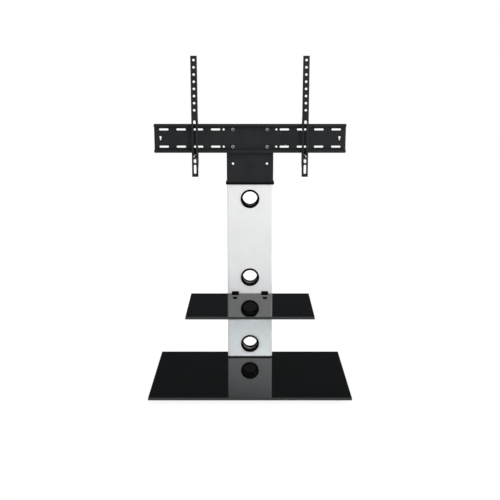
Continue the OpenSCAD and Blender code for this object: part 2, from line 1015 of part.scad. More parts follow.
base_glass();
base_feet();
base_plate();
base_pad();
base_bolts();
base_washers();
column_gasket();
column_foot();
column_front();
column_back();
cover_screws();
column_head();
column_nuts();
column_cap();
front_grommet(port_heights[0]);  // front_grommet_low
front_grommet(port_heights[1]);  // front_grommet_middle
front_grommet(port_heights[2]);  // front_grommet_top
rear_grommet(port_heights[0]);  // rear_grommet_low
rear_grommet(port_heights[1]);  // rear_grommet_middle
rear_grommet(port_heights[2]);  // rear_grommet_top
shelf_glass();
shelf_bracket(-bracket_x);  // shelf_bracket_left
shelf_bracket(bracket_x);  // shelf_bracket_right
bracket_screws();
bracket_nuts();
shelf_pads();
shelf_bushes();
shelf_bolts();
shelf_nuts();
neck();
neck_bolts();
neck_washers();
rail();
rail_bolts();
rail_washers();
rail_nuts();
arm(-arm_x);  // left_arm
lock_plate(-arm_x);  // left_lock_plate
lock_nut(-arm_x);  // left_lock_nut
lock_washer(-arm_x);  // left_lock_washer
lock_screw(-arm_x);  // left_lock_screw
arm(arm_x);  // right_arm
lock_plate(arm_x);  // right_lock_plate
lock_nut(arm_x);  // right_lock_nut
lock_washer(arm_x);  // right_lock_washer
lock_screw(arm_x);  // right_lock_screw
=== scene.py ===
"""Looks of a free-standing television stand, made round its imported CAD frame.

The frame's solids keep their shapes and get their finishes here. Threads, weld beads and
moulded grommets, which the solids leave plain, are worked out as surfaces on grids of two
parameters. Lengths are in metres, Z is up and the stand's front looks towards -Y.
"""

import logging
import math
from abc import ABC, abstractmethod
from dataclasses import dataclass
from enum import Enum
from functools import cached_property

import bmesh
import bpy
import numpy as np
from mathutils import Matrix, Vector


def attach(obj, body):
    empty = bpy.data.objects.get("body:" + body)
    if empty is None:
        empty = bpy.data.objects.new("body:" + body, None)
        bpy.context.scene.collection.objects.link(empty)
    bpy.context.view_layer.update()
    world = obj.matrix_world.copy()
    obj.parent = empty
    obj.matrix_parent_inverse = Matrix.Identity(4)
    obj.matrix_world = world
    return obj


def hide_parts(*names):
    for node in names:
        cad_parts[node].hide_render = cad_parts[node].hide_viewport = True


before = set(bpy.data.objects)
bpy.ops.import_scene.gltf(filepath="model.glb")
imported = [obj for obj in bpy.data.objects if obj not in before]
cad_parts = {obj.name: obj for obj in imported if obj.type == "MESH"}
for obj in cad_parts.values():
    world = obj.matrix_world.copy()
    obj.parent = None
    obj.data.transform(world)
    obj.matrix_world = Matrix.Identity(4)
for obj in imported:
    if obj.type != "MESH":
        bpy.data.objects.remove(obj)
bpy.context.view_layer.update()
REPORT = logging.getLogger("television_stand")
MM = 0.001

Socket = bpy.types.NodeSocket
Pair = tuple[float, float]
Triple = tuple[float, float, float]
Colour = tuple[float, float, float, float]

PURE_WHITE: Colour = (1.0, 1.0, 1.0, 1.0)
# Most values of a noise lie between these two.
CLOUD: Pair = (0.3, 0.7)
# Points nearer than this are one point, and edges shorter than this are none.
SAME_POINT = 1e-7
NO_LENGTH = 1e-8


class Body(str, Enum):
    """The CAD bodies that pieces ride on."""

    ROOT = "root"
    LEFT_ARM = "left_arm"
    LEFT_SCREW = "left_screw"
    RIGHT_ARM = "right_arm"
    RIGHT_SCREW = "right_screw"


class Slot(str, Enum):
    """The record's material slots, passed along with the pieces built here."""

    BLACK = "black_steel"
    ZINC = "zinc"
    RUBBER = "rubber"


class Side(Enum):
    """Left and right, by their sign along X."""

    LEFT = -1
    RIGHT = 1

    @property
    def word(self) -> str:
        """The side's name, as the CAD nodes spell it."""
        return self.name.lower()


class Way(Enum):
    """Which way a shape's own +Z points once it is put, as the rows of a turning matrix."""

    UP = ((1, 0, 0), (0, 1, 0), (0, 0, 1))
    BACK = ((1, 0, 0), (0, 0, 1), (0, -1, 0))
    FORWARD = ((1, 0, 0), (0, 0, -1), (0, 1, 0))


def grey(level: float, warmth: float = 0.0) -> Colour:
    """A linear grey, redder and less blue by the share warmth."""
    return (level * (1 + warmth), level, level * (1 - warmth), 1.0)


def placed(name: str, data: bpy.types.ID) -> bpy.types.Object:
    """Puts a new object in the scene.

    Args:
        name: its name.
        data: its mesh, light or camera.

    Returns:
        The object.
    """
    thing = bpy.data.objects.new(name, data)
    bpy.context.scene.collection.objects.link(thing)
    return thing


# Material recipes


class NodeWork:
    """A node tree that is put together a node at a time."""

    def __init__(self, owner: bpy.types.Material | bpy.types.World) -> None:
        """Opens the tree of a material or a world."""
        owner.use_nodes = True
        self.tree = owner.node_tree

    def add(self, kind: str, **settings: object) -> bpy.types.Node:
        """Adds a node.

        Args:
            kind: the node's Blender type, less the ShaderNode before it.
            settings: attributes of the node, or values of its inputs by name with _ for a space.

        Returns:
            The new node.
        """
        node = self.tree.nodes.new(f"ShaderNode{kind}")
        for key, value in settings.items():
            if hasattr(node, key):
                setattr(node, key, value)
            else:
                node.inputs[key.replace("_", " ")].default_value = value
        return node

    def join(self, out: Socket, into: Socket) -> None:
        """Links an output to an input."""
        self.tree.links.new(out, into)

    def worked(self, operation: str, *values: Socket) -> Socket:
        """Works out a number from others.

        Args:
            operation: the Math node's operation.
            values: its inputs, in order.

        Returns:
            The number.
        """
        step = self.add("Math", operation=operation)
        for value, into in zip(values, step.inputs):
            self.join(value, into)
        return step.outputs[0]

    def upward(self, vector: Socket) -> Socket:
        """Takes a vector's Z.

        Args:
            vector: the vector.

        Returns:
            Its Z.
        """
        split = self.add("SeparateXYZ")
        self.join(vector, split.inputs["Vector"])
        return split.outputs["Z"]

    def ranged(self, value: Socket, low: float, high: float, start: float = CLOUD[0],
               end: float = CLOUD[1], easing: str = "LINEAR") -> Socket:
        """Spreads a value between two others.

        Args:
            value: what is spread.
            low: the result at start and below.
            high: the result at end and above.
            start: lower end of the value.
            end: upper end of the value.
            easing: the Map Range node's interpolation.

        Returns:
            The spread value.
        """
        spread = self.add("MapRange", interpolation_type=easing, From_Min=start, From_Max=end,
                          To_Min=low, To_Max=high)
        self.join(value, spread.inputs["Value"])
        return spread.outputs["Result"]

    def shown_share(self) -> Socket:
        """Finds the rays that show the background: camera, glossy and transmission rays.

        Returns:
            1 for these rays and 0 for others.
        """
        path = self.add("LightPath")
        share = path.outputs["Is Camera Ray"]
        for name in ("Is Glossy Ray", "Is Transmission Ray"):
            share = self.worked("MAXIMUM", share, path.outputs[name])
        return share

    def end_in_mix(self, share: Socket, first: bpy.types.Node, second: bpy.types.Node) -> None:
        """Shows a mix of two shaders, in place of the one that the tree began with.

        Args:
            share: 0 shows the first and 1 the second.
            first: the node of the first shader.
            second: the node of the second shader.
        """
        mix = self.add("MixShader")
        for part, into in zip((share, first.outputs[0], second.outputs[0]), mix.inputs):
            self.join(part, into)
        surface = self.tree.get_output_node("ALL").inputs["Surface"]
        self.tree.nodes.remove(surface.links[0].from_node)
        self.join(mix.outputs[0], surface)


class Recipe(NodeWork):
    """A material on Object coordinates, put together round its Principled shader."""

    def __init__(self, name: str) -> None:
        """Starts the material.

        Args:
            name: the material's name.
        """
        self.material = bpy.data.materials.new(name)
        super().__init__(self.material)
        self.shader = self.tree.nodes["Principled BSDF"]
        self.place = self.add("TexCoord").outputs["Object"]

    def plain(self, **values: object) -> None:
        """Sets values on the shader's own sockets, by name with _ for a space."""
        for key, value in values.items():
            self.shader.inputs[key.replace("_", " ")].default_value = value

    def noise(self, grain: float, detail: float = 2.0, rough: float = 0.5,
              stretch: Triple = (1.0, 1.0, 1.0)) -> Socket:
        """Cloudy noise over the piece.

        Args:
            grain: size of its patches in metres.
            detail: number of finer layers.
            rough: how strong these layers are.
            stretch: how much longer the patches are along each axis.

        Returns:
            A value round 0.5.
        """
        scaled = self.add("Mapping", vector_type="POINT",
                          Scale=[1.0 / (grain * longer) for longer in stretch])
        self.join(self.place, scaled.inputs["Vector"])
        cloud = self.add("TexNoise", Scale=1.0, Detail=detail, Roughness=rough)
        self.join(scaled.outputs["Vector"], cloud.inputs["Vector"])
        return cloud.outputs["Fac"]

    def cells(self, grain: float) -> Socket:
        """Crystal cells over the piece, each with its own value from 0 to 1.

        Args:
            grain: size of the cells in metres.

        Returns:
            The cells' values.
        """
        cell = self.add("TexVoronoi", Scale=1.0 / grain)
        self.join(self.place, cell.inputs["Vector"])
        split = self.add("SeparateColor")
        self.join(cell.outputs["Color"], split.inputs["Color"])
        return split.outputs["Red"]

    def tinted(self, value: Socket, dark: Colour, light: Colour) -> None:
        """Colours the shader between two linear colours.

        Args:
            value: what the colour follows, over a noise's usual values.
            dark: the colour where it is low.
            light: the colour where it is high.
        """
        ramp = self.add("ValToRGB")
        for stop, at, colour in zip(ramp.color_ramp.elements, CLOUD, (dark, light)):
            stop.position = at
            stop.color = colour
        self.join(value, ramp.inputs["Fac"])
        self.join(ramp.outputs["Color"], self.shader.inputs["Base Color"])

    def roughened(self, value: Socket) -> None:
        """Makes a value the shader's roughness."""
        self.join(value, self.shader.inputs["Roughness"])

    def bumped(self, height: Socket, depth: float, under: Socket | None = None) -> Socket:
        """Raises the surface by a height.

        Args:
            height: from 0 to 1.
            depth: how high 1 is, in metres.
            under: the normal of a coarser bump that this one lies on.

        Returns:
            The bumped normal, which the shader also gets.
        """
        bump = self.add("Bump", Strength=1.0, Distance=depth)
        self.join(height, bump.inputs["Height"])
        if under is not None:
            self.join(under, bump.inputs["Normal"])
        self.join(bump.outputs["Normal"], self.shader.inputs["Normal"])
        return bump.outputs["Normal"]


@dataclass(frozen=True)
class Finish(ABC):
    """A finish.

    Its patches, grains, waves and their depths are in metres and its colours are linear. rough
    gives the roughness where the noise that it follows is low, and where that is high.
    """

    name: str

    @abstractmethod
    def mixed(self) -> bpy.types.Material:
        """Mixes the finish's material."""


@dataclass(frozen=True)
class PowderCoat(Finish):
    """Fine black powder coat: a dry skin with a small grain and long soft waves."""

    name: str = "black_powder_coat"
    dark: float = 0.0205
    light: float = 0.0255
    shine: float = 0.055
    warmth: float = -0.05
    patch: float = 45 * MM
    rough: Pair = (0.4, 0.52)
    grain: float = 1.1 * MM
    grain_depth: float = 0.022 * MM
    wave: float = 3.5 * MM
    wave_depth: float = 0.012 * MM

    def mixed(self) -> bpy.types.Material:
        """Mixes the coat: the fine grain sets its roughness and lies on the waves.

        Returns:
            The material.
        """
        r = Recipe(self.name)
        r.tinted(r.noise(self.patch, detail=4.0, rough=0.6), grey(self.dark, self.warmth),
                 grey(self.light, self.warmth))
        fine = r.noise(self.grain, detail=3.0, rough=0.6)
        r.roughened(r.ranged(fine, *self.rough))
        waves = r.bumped(r.noise(self.wave, detail=1.0), self.wave_depth)
        r.bumped(fine, self.grain_depth, waves)
        r.plain(IOR=1.5, Specular_IOR_Level=self.shine)
        return r.material


@dataclass(frozen=True)
class SatinPaint(Finish):
    """White satin enamel with a faint orange peel under a thin clear skin."""

    name: str = "white_satin_paint"
    dark: float = 0.785
    light: float = 0.815
    patch: float = 90 * MM
    rough: Pair = (0.34, 0.42)
    rough_patch: float = 20 * MM
    peel: float = 2.8 * MM
    peel_depth: float = 0.014 * MM

    def mixed(self) -> bpy.types.Material:
        """Mixes the enamel.

        Returns:
            The material.
        """
        r = Recipe(self.name)
        r.tinted(r.noise(self.patch, detail=3.0, rough=0.55), grey(self.dark), grey(self.light))
        r.roughened(r.ranged(r.noise(self.rough_patch, detail=3.0), *self.rough))
        r.bumped(r.noise(self.peel), self.peel_depth)
        r.plain(IOR=1.5, Coat_Weight=0.25, Coat_Roughness=0.18)
        return r.material


@dataclass(frozen=True)
class BlackGlass(Finish):
    """Black tempered glass: near mirror faces and slightly duller polished edges.

    shade is the colour's red, and its green and blue are that times greener and bluer, with
    patches of a grey that is darker times the shade. A surface is an edge where its normal's Z
    is under the first number of upright, and a face where it is over the second.
    """

    name: str = "black_tempered_glass"
    shade: float = 0.0035
    darker: float = 0.9
    greener: float = 1.1
    bluer: float = 1.12
    patch: float = 200 * MM
    face_rough: Pair = (0.012, 0.0264)
    face_patch: float = 12 * MM
    edge_rough: Pair = (0.09, 0.162)
    edge_patch: float = 2 * MM
    edge_stretch: Triple = (12.0, 12.0, 1.0)
    upright: Pair = (0.85, 0.97)

    def mixed(self) -> bpy.types.Material:
        """Mixes the glass.

        Returns:
            The material.
        """
        r = Recipe(self.name)
        r.tinted(r.noise(self.patch), grey(self.shade * self.darker),
                 (self.shade, self.shade * self.greener, self.shade * self.bluer, 1.0))
        flat = r.worked("ABSOLUTE", r.upward(r.add("NewGeometry").outputs["Normal"]))
        face = r.ranged(r.noise(self.face_patch, detail=4.0, rough=0.6), *self.face_rough)
        edge = r.ranged(r.noise(self.edge_patch, detail=3.0, rough=0.6,
                                stretch=self.edge_stretch), *self.edge_rough)
        mix = r.add("Mix", data_type="FLOAT")
        r.join(r.ranged(flat, 0.0, 1.0, *self.upright), mix.inputs["Factor"])
        r.join(edge, mix.inputs["A"])
        r.join(face, mix.inputs["B"])
        r.roughened(mix.outputs["Result"])
        r.plain(IOR=1.52, Specular_IOR_Level=0.5, Specular_Tint=(0.94, 0.98, 1.0, 1.0))
        return r.material


@dataclass(frozen=True)
class ZincPlate(Finish):
    """Zinc plating: a mottled metal with soft crystal patches."""

    name: str = "bright_zinc"
    dark: float = 0.46
    light: float = 0.66
    rough: Pair = (0.24, 0.375)
    warmth: float = -0.01
    patch: float = 4 * MM
    crystal: float = 0.9 * MM
    grain: float = 0.5 * MM
    grain_depth: float = 0.008 * MM

    def mixed(self) -> bpy.types.Material:
        """Mixes the plating: each crystal has a roughness of its own.

        Returns:
            The material.
        """
        r = Recipe(self.name)
        r.tinted(r.noise(self.patch, detail=4.0, rough=0.65), grey(self.dark, self.warmth),
                 grey(self.light, self.warmth))
        r.roughened(r.ranged(r.cells(self.crystal), *self.rough, start=0.0, end=1.0))
        r.bumped(r.noise(self.grain, detail=3.0, rough=0.6), self.grain_depth)
        r.plain(Metallic=1.0)
        return r.material


@dataclass(frozen=True)
class Rubber(Finish):
    """Moulded or foamed black rubber, dull and slightly dusty."""

    name: str = "black_rubber"
    dark: float = 0.014
    light: float = 0.026
    grain: float = 0.6 * MM
    grain_depth: float = 0.03 * MM
    patch: float = 10 * MM
    rough: Pair = (0.62, 0.8)
    rough_patch: float = 3 * MM

    def mixed(self) -> bpy.types.Material:
        """Mixes the rubber.

        Returns:
            The material.
        """
        r = Recipe(self.name)
        r.tinted(r.noise(self.patch, detail=4.0, rough=0.6), grey(self.dark), grey(self.light))
        r.roughened(r.ranged(r.noise(self.rough_patch, detail=3.0), *self.rough))
        r.bumped(r.noise(self.grain), self.grain_depth)
        r.plain(IOR=1.5, Specular_IOR_Level=0.35)
        return r.material


@dataclass(frozen=True)
class Moulding(Finish):
    """Black moulded plastic with the fine spark grain of its mould."""

    name: str = "black_moulded_plastic"
    dark: float = 0.003
    light: float = 0.005
    rough: Pair = (0.66, 0.924)
    shine: float = 0.002
    patch: float = 6 * MM
    spark: float = 0.4 * MM
    spark_depth: float = 0.01 * MM

    def mixed(self) -> bpy.types.Material:
        """Mixes the plastic: the spark grain sets its roughness and its bumps.

        Returns:
            The material.
        """
        r = Recipe(self.name)
        r.tinted(r.noise(self.patch, detail=3.0), grey(self.dark), grey(self.light))
        spark = r.noise(self.spark, rough=0.6)
        r.roughened(r.ranged(spark, *self.rough))
        r.bumped(spark, self.spark_depth)
        r.plain(IOR=1.46, Specular_IOR_Level=self.shine)
        return r.material


@dataclass(frozen=True)
class Lacquer(Finish):
    """Gloss black lacquer on the caps of the shelf's bolts."""

    name: str = "gloss_black_lacquer"
    dark: float = 0.0048
    light: float = 0.0078
    patch: float = 4 * MM
    rough: Pair = (0.12, 0.2)
    rough_patch: float = 1 * MM
    wave: float = 1.2 * MM
    wave_depth: float = 0.005 * MM

    def mixed(self) -> bpy.types.Material:
        """Mixes the lacquer.

        Returns:
            The material.
        """
        r = Recipe(self.name)
        r.tinted(r.noise(self.patch), grey(self.dark), grey(self.light))
        r.roughened(r.ranged(r.noise(self.rough_patch), *self.rough))
        r.bumped(r.noise(self.wave, detail=1.0), self.wave_depth)
        r.plain(IOR=1.5, Coat_Weight=0.6, Coat_Roughness=0.06)
        return r.material


class Paint(Enum):
    """The stand's finishes."""

    BLACK = PowderCoat()
    DEEP_BLACK = PowderCoat("deep_black_coat", dark=0.003, light=0.005, shine=0.03)
    WHITE = SatinPaint()
    GLASS = BlackGlass()
    ZINC = ZincPlate()
    DARK_ZINC = ZincPlate("dark_zinc", dark=0.2, light=0.34, rough=(0.272, 0.425))
    BLACK_ZINC = ZincPlate("black_zinc", dark=0.02, light=0.035, rough=(0.36, 0.5625))
    RUBBER = Rubber()
    FOAM = Rubber("black_foam", dark=0.02, light=0.035, grain=1.2 * MM, grain_depth=0.12 * MM)
    PLASTIC = Moulding()
    DULL_PLASTIC = Moulding("dull_moulded_plastic", dark=0.004, light=0.006,
                            rough=(0.55, 0.77), shine=0.06)
    LACQUER = Lacquer()

    @cached_property
    def material(self) -> bpy.types.Material:
        """The finish's material, mixed when it is first asked for."""
        return self.value.mixed()


def coat(paint: Paint, *nodes: str) -> None:
    """Gives CAD nodes a finish.

    Args:
        paint: the finish.
        nodes: the nodes' names.
    """
    for name in nodes:
        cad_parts[name].data.materials[0] = paint.material
    REPORT.info("%s on %s", paint.value.name, ", ".join(nodes))


# Surfaces on grids


def turns(count: int) -> np.ndarray:
    """Angles that share a full turn evenly, in radians from zero."""
    return np.arange(count) * 2 * np.pi / count


def revolved(radius: np.ndarray | float, height: np.ndarray, angle: np.ndarray) -> np.ndarray:
    """Carries radii and heights round the Z axis.

    At the angle a, x is the radius times cos a, y the radius times sin a, and z the height.

    Args:
        radius: rows x 1, rows x columns, or one radius for all.
        height: rows x 1, or rows x columns.
        angle: the columns' angles.

    Returns:
        rows x columns x 3 points.
    """
    return np.stack(np.broadcast_arrays(radius * np.cos(angle), radius * np.sin(angle), height),
                    axis=-1)


@dataclass
class Shell:
    """A surface: points, and faces of four corners as rows of point numbers."""

    points: np.ndarray
    faces: np.ndarray

    @classmethod
    def around(cls, grid: np.ndarray) -> "Shell":
        """Joins a grid of points whose rows run round.

        The face between rows i, i + 1 and columns j, j + 1 has these four corners, and the
        last column joins the first. The first and last rows are poles, or lie on each other,
        where the surface is closed.

        Args:
            grid: rows x columns x 3 points.

        Returns:
            The shell.
        """
        rows, columns = grid.shape[:2]
        at = np.arange(rows * columns).reshape(rows, columns)
        beside = np.roll(at, -1, axis=1)
        faces = np.stack([at[:-1], beside[:-1], beside[1:], at[1:]], axis=-1)
        return cls(grid.reshape(-1, 3), faces.reshape(-1, 4))

    def put(self, place: Triple, way: Way = Way.UP) -> "Shell":
        """A copy whose +Z points that way and whose origin lies at the place."""
        return Shell(self.points @ np.array(way.value).T + np.array(place), self.faces)

    @staticmethod
    def merged(shells: list["Shell"]) -> "Shell":
        """Puts several shells into one.

        Args:
            shells: the shells.

        Returns:
            One shell that holds them in that order.
        """
        starts = np.cumsum([0] + [len(s.points) for s in shells[:-1]])
        return Shell(np.concatenate([s.points for s in shells]),
                     np.concatenate([s.faces + n for s, n in zip(shells, starts)]))

    def mesh(self, name: str, finish: bpy.types.Material) -> bpy.types.Mesh:
        """Puts the shell into a mesh.

        Args:
            name: the mesh's name.
            finish: its material.

        Returns:
            The mesh.
        """
        mesh = bpy.data.meshes.new(name)
        mesh.from_pydata(self.points.tolist(), [], self.faces.tolist())
        mesh.materials.append(finish)
        return mesh

    def piece(self, name: str, paint: Paint, slot: Slot, body: Body,
              crease: float = 35.0) -> bpy.types.Object:
        """Makes a closed shell a piece of the stand.

        Args:
            name: the piece's name.
            paint: its finish.
            slot: the record's slot for it; not used.
            body: the CAD body it rides on.
            crease: angle in degrees past which an edge looks sharp.

        Returns:
            The piece.
        """
        mesh = self.mesh(name, paint.material)
        work = bmesh.new()
        work.from_mesh(mesh)
        bmesh.ops.remove_doubles(work, verts=work.verts, dist=SAME_POINT)
        bmesh.ops.dissolve_degenerate(work, dist=NO_LENGTH, edges=work.edges)
        bmesh.ops.recalc_face_normals(work, faces=work.faces)
        work.to_mesh(mesh)
        work.free()
        mesh.shade_smooth()
        mesh.set_sharp_from_angle(angle=math.radians(crease))
        piece = placed(name, mesh)
        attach(piece, body.value)
        REPORT.info("%s: %d faces on %s", name, len(mesh.polygons), body.value)
        return piece


@dataclass(frozen=True)
class HexScrew:
    """A hexagon screw that points along +Z, with its head below zero and a rolled thread.

    across is the head's width across flats and chamfer how far its corners are cut back. dish
    is the hollow in the head's face: shares of half that width, each with its depth. The thread
    is groove times the pitch deep, has steps rings a turn and fades over fade turns at its ends.
    crest, slope and straight shape its groove, as thread() says.
    """

    length: float
    thread_from: float
    radius: float = 4 * MM
    across: float = 13 * MM
    head: float = 5.3 * MM
    chamfer: float = 0.78 * MM
    dish: tuple[Pair, ...] = ((0.0, 0.35 * MM), (0.5, 0.32 * MM), (0.6, 0.06 * MM), (0.66, 0.0))
    point: float = 0.8 * MM
    pitch: float = 1.25 * MM
    groove: float = 0.61
    crest: float = 0.12
    slope: float = 1.2
    straight: float = 0.65
    steps: int = 10
    fade: float = 0.75
    columns: int = 48

    def shell(self) -> Shell:
        """The screw's surface, as rings round the axis.

        At the angle a the hexagon's radius is half of across over the cosine of (a mod 60) - 30
        degrees. The head's edges are cut by a cone at 45 degrees, and the screw's end too.

        Returns:
            A closed shell.
        """
        angle = turns(self.columns)
        sixth = np.pi / 3
        flat = self.across / 2
        hexagon = flat / np.cos(angle % sixth - sixth / 2)
        cone = flat / math.cos(sixth / 2) - self.chamfer
        face = np.minimum(hexagon, cone)
        rise = np.maximum(hexagon - cone, 0)
        z = np.arange(self.thread_from, self.length - self.point, self.pitch / self.steps)[:, None]
        rings = [(share * flat, depth - self.head) for share, depth in self.dish]
        rings += [(face, -self.head), (hexagon, rise - self.head), (hexagon, -rise), (face, 0.0),
                  (self.radius, 0.0), (self.thread(z, angle), z),
                  (self.radius - self.point, self.length), (0.0, self.length)]
        level = np.zeros((1, self.columns))
        radius, height = (np.concatenate([level + part for part in parts])
                          for parts in zip(*rings))
        return Shell.around(revolved(radius, height, angle))

    def thread(self, z: np.ndarray, angle: np.ndarray) -> np.ndarray:
        """Radius of the thread at each height and angle.

        With t the fraction of z / pitch - angle / 360 degrees, the groove's share of its depth
        is slope times 1 - |2 t - 1|, less crest, kept from 0 to 1. That is a V with a flat crest
        between two turns, and it is rounded by mixing its straight flanks with S-shaped ones.

        Args:
            z: heights, as a column.
            angle: angles round the axis.

        Returns:
            Radii, heights x angles.
        """
        turn = (z / self.pitch - angle / (2 * np.pi)) % 1.0
        cut = np.clip(self.slope * (1 - np.abs(2 * turn - 1)) - self.crest, 0, 1)
        cut = cut * cut * (3 - 2 * cut) * (1 - self.straight) + cut * self.straight
        ends = np.clip(np.minimum(z - z[0], z[-1] - z) / (self.fade * self.pitch), 0, 1)
        return self.radius - self.groove * self.pitch * cut * ends


@dataclass(frozen=True)
class WeldBead:
    """A short fillet weld: a rippled bead with rounded ends.

    ripple is a ripple's length and swell its height as a share of the radius, steps the rings
    in each, lean how far it leans forward, blunt how square the bead's ends are, and askew a
    direction that no bead follows.
    """

    start: Triple
    end: Triple
    radius: float = 1.1 * MM
    ripple: float = 1.3 * MM
    swell: float = 0.09
    steps: int = 6
    lean: float = 0.25
    blunt: int = 8
    askew: Triple = (0.31, 0.27, 0.91)
    columns: int = 14

    def shell(self) -> Shell:
        """The bead's surface, as rings along its line.

        The ring's radius follows the square root of 1 - (2 s - 1) to the power of blunt along
        the bead, times 1 + swell times the sine of the way along in ripples, and each ripple
        leans forward where the ring faces up.

        Returns:
            A closed shell.
        """
        start = np.array(self.start)
        line = np.array(self.end) - start
        length = float(np.linalg.norm(line))
        line = line / length
        side = np.cross(line, self.askew)
        side /= np.linalg.norm(side)
        up = np.cross(side, line)
        s = np.linspace(0, 1, int(length / (self.ripple / self.steps)))[:, None]
        angle = turns(self.columns)
        envelope = np.sqrt(np.maximum(1 - (2 * s - 1) ** self.blunt, 0))
        way = s * length / self.ripple - self.lean * np.cos(angle)
        radius = self.radius * envelope * (1 + self.swell * np.sin(2 * np.pi * way))
        ring = np.cos(angle)[:, None] * up + np.sin(angle)[:, None] * side
        return Shell.around(start + s[..., None] * length * line + radius[..., None] * ring)


@dataclass(frozen=True)
class Grommet:
    """A moulded cable grommet round +Z: its rim stands below zero and its sleeve runs up.

    wall is the sheet's thickness, depth the sleeve's length behind it and lip how far the snap
    lip that holds it stands out. The lip begins a gap behind the sheet, is full up to lip_top
    past there and is gone at lip_end. edge and mouth are the radii of the rim's outer edge and
    of the bore's mouth, each an arc of arc points.
    """

    wall: float
    depth: float
    lip: float = 0.8 * MM
    bore: float = 27.7 * MM
    sleeve: float = 2 * MM
    rim: float = 35 * MM
    rim_height: float = 2 * MM
    edge: float = 1.2 * MM
    mouth: float = 0.7 * MM
    gap: float = 0.15 * MM
    lip_top: float = 1 * MM
    lip_end: float = 4 * MM
    arc: int = 8
    columns: int = 96

    def shell(self) -> Shell:
        """The grommet's surface: its closed section, carried round the axis.

        The section's points are radius and height. The rim's outer edge and the bore's mouth
        are quarter circles, and the snap lip falls off along a cone.

        Returns:
            A closed shell.
        """
        turn = np.linspace(0, np.pi / 2, self.arc)
        outside = self.bore + self.sleeve
        behind = self.wall + self.gap
        end = self.wall + self.depth
        bevel = self.mouth / 2
        rim_edge = np.stack([self.rim - self.edge * (1 - np.sin(turn)),
                             self.edge * (1 - np.cos(turn)) - self.rim_height], axis=1)
        mouth = np.stack([self.bore + self.mouth * (1 - np.cos(turn)),
                          self.mouth * (1 - np.sin(turn)) - self.rim_height], axis=1)
        back = np.array([(self.rim, 0.0), (outside, 0.0), (outside, behind),
                         (outside + self.lip, behind), (outside + self.lip, behind + self.lip_top),
                         (outside, behind + self.lip_end), (outside, end - bevel),
                         (outside - bevel, end), (self.bore + bevel, end),
                         (self.bore, end - bevel)])
        section = np.concatenate([rim_edge, back, mouth, rim_edge[:1]])
        return Shell.around(revolved(section[:, :1], section[:, 1:], turns(self.columns)))


# The stand


class Assembly(ABC):
    """A sub-assembly of the stand."""

    @abstractmethod
    def dress(self) -> None:
        """Gives its CAD nodes their finishes."""

    def build(self) -> None:
        """Builds the pieces that its nodes leave plain, where it has any."""


@dataclass(frozen=True)
class Base(Assembly):
    """The glass base with its feet, plate, pad and screws."""

    def dress(self) -> None:
        """Finishes the base's nodes."""
        coat(Paint.GLASS, "base_glass")
        coat(Paint.RUBBER, "base_feet")
        coat(Paint.BLACK, "base_plate")
        coat(Paint.FOAM, "base_pad")
        coat(Paint.ZINC, "base_bolts", "base_washers")


@dataclass(frozen=True)
class Column(Assembly):
    """The white column, its cover, its brackets and its cable grommets.

    The grommets' rims lie on the column's front at front_y and on the cover's outside at
    back_y, and ports gives the heights of their axes.
    """

    front_y: float = 163 * MM
    back_y: float = 214.5 * MM
    front_grommet: Grommet = Grommet(wall=2 * MM, depth=15 * MM)
    rear_grommet: Grommet = Grommet(wall=1.5 * MM, depth=12 * MM, lip=1.7 * MM)
    ports: tuple[tuple[str, float], ...] = (("low", 82 * MM), ("middle", 349 * MM),
                                            ("top", 651 * MM))

    def dress(self) -> None:
        """Finishes the column's nodes."""
        coat(Paint.WHITE, "column_front", "column_back")
        coat(Paint.RUBBER, "column_gasket")
        coat(Paint.BLACK, "column_foot", "column_head")
        coat(Paint.ZINC, "column_nuts", "cover_screws")
        coat(Paint.DULL_PLASTIC, "column_cap")

    def build(self) -> None:
        """Builds the six grommets, whose sleeves point into the column."""
        front = self.front_grommet.shell()
        rear = self.rear_grommet.shell()
        for word, z in self.ports:
            shells = {f"front_grommet_{word}": front.put((0.0, self.front_y, z), Way.BACK),
                      f"rear_grommet_{word}": rear.put((0.0, self.back_y, z), Way.FORWARD)}
            for node, shell in shells.items():
                piece = shell.piece(f"{node}_moulded", Paint.PLASTIC, Slot.RUBBER, Body.ROOT)
                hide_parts(node)


@dataclass(frozen=True)
class Shelf(Assembly):
    """The glass shelf on its two folded brackets."""

    def dress(self) -> None:
        """Finishes the shelf's nodes."""
        coat(Paint.GLASS, "shelf_glass")
        coat(Paint.DEEP_BLACK, "shelf_bracket_left", "shelf_bracket_right")
        coat(Paint.RUBBER, "shelf_pads")
        coat(Paint.PLASTIC, "shelf_bushes")
        coat(Paint.LACQUER, "shelf_bolts")
        coat(Paint.ZINC, "bracket_screws", "bracket_nuts", "shelf_nuts")


@dataclass(frozen=True)
class Neck(Assembly):
    """The folded neck on the column's cap."""

    def dress(self) -> None:
        """Finishes the neck's nodes."""
        coat(Paint.BLACK, "neck")
        coat(Paint.ZINC, "neck_bolts", "neck_washers")


@dataclass(frozen=True)
class Rail(Assembly):
    """The folded rail and the four screws that hold it to the neck.

    The screws stand screw_x to both sides of the middle in two rows, heads on seat_y.
    """

    screw_x: float = 62.5 * MM
    rows: Pair = (845 * MM, 907.5 * MM)
    seat_y: float = 159.4 * MM
    screw: HexScrew = HexScrew(length=15.1 * MM, thread_from=6 * MM)

    def dress(self) -> None:
        """Finishes the rail's nodes."""
        coat(Paint.BLACK, "rail")
        coat(Paint.BLACK_ZINC, "rail_washers")
        coat(Paint.ZINC, "rail_nuts")

    def build(self) -> None:
        """Builds the four threaded screws, which point back through the rail and the neck."""
        one = self.screw.shell()
        four = [one.put((side.value * self.screw_x, self.seat_y, z), Way.BACK)
                for side in Side for z in self.rows]
        piece = Shell.merged(four).piece("rail_screws_threaded", Paint.DARK_ZINC, Slot.ZINC,
                                         Body.ROOT)
        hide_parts("rail_bolts")


